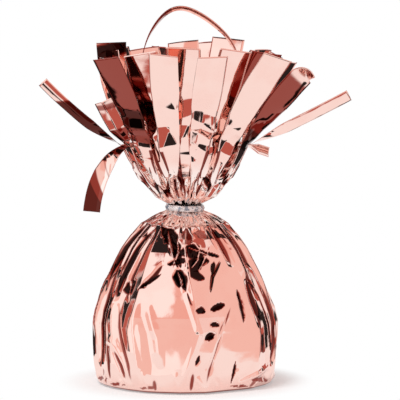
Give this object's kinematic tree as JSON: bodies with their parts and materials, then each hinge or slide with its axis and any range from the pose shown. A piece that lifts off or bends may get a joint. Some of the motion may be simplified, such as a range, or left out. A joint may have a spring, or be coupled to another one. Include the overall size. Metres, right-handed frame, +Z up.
{
  "type": "balloon weight",
  "caption": "Tabletop balloon weight: cast puck in a rose-gold film bag, gathered by a twist tie under a pleated ruff and cut fringe, with a ribbon loop to tie balloons to.",
  "frame": {"origin": "centre of the flat base, on the surface that the weight stands on", "axes": "+Z up through the neck, -Y the front that the picture shows, +X to its right"},
  "size_m": [0.0993, 0.0744, 0.1183],
  "materials": {
    "film": "polished",
    "tie_foil": "gloss",
    "wire": "satin",
    "cup_plastic": "matte",
    "cement": "matte"
  },
  "bodies": {
    "bag": {"cement_core": "cement", "casting_cup": "cup_plastic", "film_pouch": "film", "film_ruff": "film", "tie_band": "tie_foil", "tie_wire": "wire"},
    "tie_tail": {"tie_end_left": "tie_foil", "tie_end_right": "tie_foil"},
    "ribbon_loop": {"ribbon_loop": "film"},
    "strip_01": {"fringe_strip_01": "film"},
    "strip_02": {"fringe_strip_02": "film"},
    "strip_03": {"fringe_strip_03": "film"},
    "strip_04": {"fringe_strip_04": "film"},
    "strip_05": {"fringe_strip_05": "film"},
    "strip_06": {"fringe_strip_06": "film"},
    "strip_07": {"fringe_strip_07": "film"},
    "strip_08": {"fringe_strip_08": "film"},
    "strip_09": {"fringe_strip_09": "film"},
    "strip_10": {"fringe_strip_10": "film"},
    "strip_11": {"fringe_strip_11": "film"},
    "strip_12": {"fringe_strip_12": "film"},
    "strip_13": {"fringe_strip_13": "film"},
    "strip_14": {"fringe_strip_14": "film"},
    "strip_15": {"fringe_strip_15": "film"},
    "strip_16": {"fringe_strip_16": "film"},
    "strip_17": {"fringe_strip_17": "film"},
    "strip_18": {"fringe_strip_18": "film"},
    "strip_19": {"fringe_strip_19": "film"},
    "strip_20": {"fringe_strip_20": "film"},
    "strip_21": {"fringe_strip_21": "film"},
    "strip_22": {"fringe_strip_22": "film"},
    "strip_23": {"fringe_strip_23": "film"},
    "strip_24": {"fringe_strip_24": "film"},
    "strip_25": {"fringe_strip_25": "film"},
    "strip_26": {"fringe_strip_26": "film"},
    "strip_27": {"fringe_strip_27": "film"},
    "strip_28": {"fringe_strip_28": "film"}
  },
  "joints": [
    {"name": "tie_tail_bend", "type": "hinge", "parent": "bag", "child": "tie_tail", "pos_m": [0, 0.0065, 0.0553], "axis": [1, 0, 0], "range_deg": [-20, 35]},
    {"name": "ribbon_loop_sway", "type": "hinge", "parent": "bag", "child": "ribbon_loop", "pos_m": [0, 0, 0.0606], "axis": [1, 0, 0], "range_deg": [-15, 15], "stiffness_Nm_per_rad": 0.002},
    {"name": "strip_01_bend", "type": "hinge", "parent": "bag", "child": "strip_01", "pos_m": [0, -0.01828, 0.0753], "axis": [1, 0, 0], "range_deg": [-6, 6], "stiffness_Nm_per_rad": 0.00015},
    {"name": "strip_02_bend", "type": "hinge", "parent": "bag", "child": "strip_02", "pos_m": [0.0046, -0.02015, 0.0753], "axis": [0.9749, 0.2225, 0], "range_deg": [-4, 45], "stiffness_Nm_per_rad": 0.00015},
    {"name": "strip_03_bend", "type": "hinge", "parent": "bag", "child": "strip_03", "pos_m": [0.00793, -0.01647, 0.0753], "axis": [0.901, 0.4339, 0], "range_deg": [-6, 6], "stiffness_Nm_per_rad": 0.00015},
    {"name": "strip_04_bend", "type": "hinge", "parent": "bag", "child": "strip_04", "pos_m": [0.01289, -0.01616, 0.0753], "axis": [0.7818, 0.6235, 0], "range_deg": [-4, 45], "stiffness_Nm_per_rad": 0.00015},
    {"name": "strip_05_bend", "type": "hinge", "parent": "bag", "child": "strip_05", "pos_m": [0.01429, -0.0114, 0.0753], "axis": [0.6235, 0.7818, 0], "range_deg": [-6, 6], "stiffness_Nm_per_rad": 0.00015},
    {"name": "strip_06_bend", "type": "hinge", "parent": "bag", "child": "strip_06", "pos_m": [0.01862, -0.00897, 0.0753], "axis": [0.4339, 0.901, 0], "range_deg": [-10, 35], "stiffness_Nm_per_rad": 0.00015},
    {"name": "strip_07_bend", "type": "hinge", "parent": "bag", "child": "strip_07", "pos_m": [0.01782, -0.00407, 0.0753], "axis": [0.2225, 0.9749, 0], "range_deg": [-40, 8], "stiffness_Nm_per_rad": 0.00015},
    {"name": "strip_08_bend", "type": "hinge", "parent": "bag", "child": "strip_08", "pos_m": [0.02067, 0, 0.0753], "axis": [0, 1, 0], "range_deg": [-30, 20], "stiffness_Nm_per_rad": 0.00015},
    {"name": "strip_09_bend", "type": "hinge", "parent": "bag", "child": "strip_09", "pos_m": [0.01782, 0.00407, 0.0753], "axis": [-0.2225, 0.9749, 0], "range_deg": [-6, 6], "stiffness_Nm_per_rad": 0.00015},
    {"name": "strip_10_bend", "type": "hinge", "parent": "bag", "child": "strip_10", "pos_m": [0.01862, 0.00897, 0.0753], "axis": [-0.4339, 0.901, 0], "range_deg": [-4, 45], "stiffness_Nm_per_rad": 0.00015},
    {"name": "strip_11_bend", "type": "hinge", "parent": "bag", "child": "strip_11", "pos_m": [0.01429, 0.0114, 0.0753], "axis": [-0.6235, 0.7818, 0], "range_deg": [-6, 6], "stiffness_Nm_per_rad": 0.00015},
    {"name": "strip_12_bend", "type": "hinge", "parent": "bag", "child": "strip_12", "pos_m": [0.01289, 0.01616, 0.0753], "axis": [-0.7818, 0.6235, 0], "range_deg": [-4, 45], "stiffness_Nm_per_rad": 0.00015},
    {"name": "strip_13_bend", "type": "hinge", "parent": "bag", "child": "strip_13", "pos_m": [0.00793, 0.01647, 0.0753], "axis": [-0.901, 0.4339, 0], "range_deg": [-6, 6], "stiffness_Nm_per_rad": 0.00015},
    {"name": "strip_14_bend", "type": "hinge", "parent": "bag", "child": "strip_14", "pos_m": [0.0046, 0.02015, 0.0753], "axis": [-0.9749, 0.2225, 0], "range_deg": [-4, 45], "stiffness_Nm_per_rad": 0.00015},
    {"name": "strip_15_bend", "type": "hinge", "parent": "bag", "child": "strip_15", "pos_m": [0, 0.01828, 0.0753], "axis": [-1, 0, 0], "range_deg": [-6, 6], "stiffness_Nm_per_rad": 0.00015},
    {"name": "strip_16_bend", "type": "hinge", "parent": "bag", "child": "strip_16", "pos_m": [-0.0046, 0.02015, 0.0753], "axis": [-0.9749, -0.2225, 0], "range_deg": [-4, 45], "stiffness_Nm_per_rad": 0.00015},
    {"name": "strip_17_bend", "type": "hinge", "parent": "bag", "child": "strip_17", "pos_m": [-0.00793, 0.01647, 0.0753], "axis": [-0.901, -0.4339, 0], "range_deg": [-6, 6], "stiffness_Nm_per_rad": 0.00015},
    {"name": "strip_18_bend", "type": "hinge", "parent": "bag", "child": "strip_18", "pos_m": [-0.01289, 0.01616, 0.0753], "axis": [-0.7818, -0.6235, 0], "range_deg": [-4, 45], "stiffness_Nm_per_rad": 0.00015},
    {"name": "strip_19_bend", "type": "hinge", "parent": "bag", "child": "strip_19", "pos_m": [-0.01429, 0.0114, 0.0753], "axis": [-0.6235, -0.7818, 0], "range_deg": [-6, 6], "stiffness_Nm_per_rad": 0.00015},
    {"name": "strip_20_bend", "type": "hinge", "parent": "bag", "child": "strip_20", "pos_m": [-0.01862, 0.00897, 0.0753], "axis": [-0.4339, -0.901, 0], "range_deg": [-4, 45], "stiffness_Nm_per_rad": 0.00015},
    {"name": "strip_21_bend", "type": "hinge", "parent": "bag", "child": "strip_21", "pos_m": [-0.01782, 0.00407, 0.0753], "axis": [-0.2225, -0.9749, 0], "range_deg": [-6, 6], "stiffness_Nm_per_rad": 0.00015},
    {"name": "strip_22_bend", "type": "hinge", "parent": "bag", "child": "strip_22", "pos_m": [-0.02067, 0, 0.0753], "axis": [0, -1, 0], "range_deg": [-30, 20], "stiffness_Nm_per_rad": 0.00015},
    {"name": "strip_23_bend", "type": "hinge", "parent": "bag", "child": "strip_23", "pos_m": [-0.01782, -0.00407, 0.0753], "axis": [0.2225, -0.9749, 0], "range_deg": [-12, 14], "stiffness_Nm_per_rad": 0.00015},
    {"name": "strip_24_bend", "type": "hinge", "parent": "bag", "child": "strip_24", "pos_m": [-0.01862, -0.00897, 0.0753], "axis": [0.4339, -0.901, 0], "range_deg": [-40, 8], "stiffness_Nm_per_rad": 0.00015},
    {"name": "strip_25_bend", "type": "hinge", "parent": "bag", "child": "strip_25", "pos_m": [-0.01429, -0.0114, 0.0753], "axis": [0.6235, -0.7818, 0], "range_deg": [-6, 6], "stiffness_Nm_per_rad": 0.00015},
    {"name": "strip_26_bend", "type": "hinge", "parent": "bag", "child": "strip_26", "pos_m": [-0.01289, -0.01616, 0.0753], "axis": [0.7818, -0.6235, 0], "range_deg": [-4, 45], "stiffness_Nm_per_rad": 0.00015},
    {"name": "strip_27_bend", "type": "hinge", "parent": "bag", "child": "strip_27", "pos_m": [-0.00793, -0.01647, 0.0753], "axis": [0.901, -0.4339, 0], "range_deg": [-6, 6], "stiffness_Nm_per_rad": 0.00015},
    {"name": "strip_28_bend", "type": "hinge", "parent": "bag", "child": "strip_28", "pos_m": [-0.0046, -0.02015, 0.0753], "axis": [0.9749, -0.2225, 0], "range_deg": [-4, 45], "stiffness_Nm_per_rad": 0.00015}
  ]
}
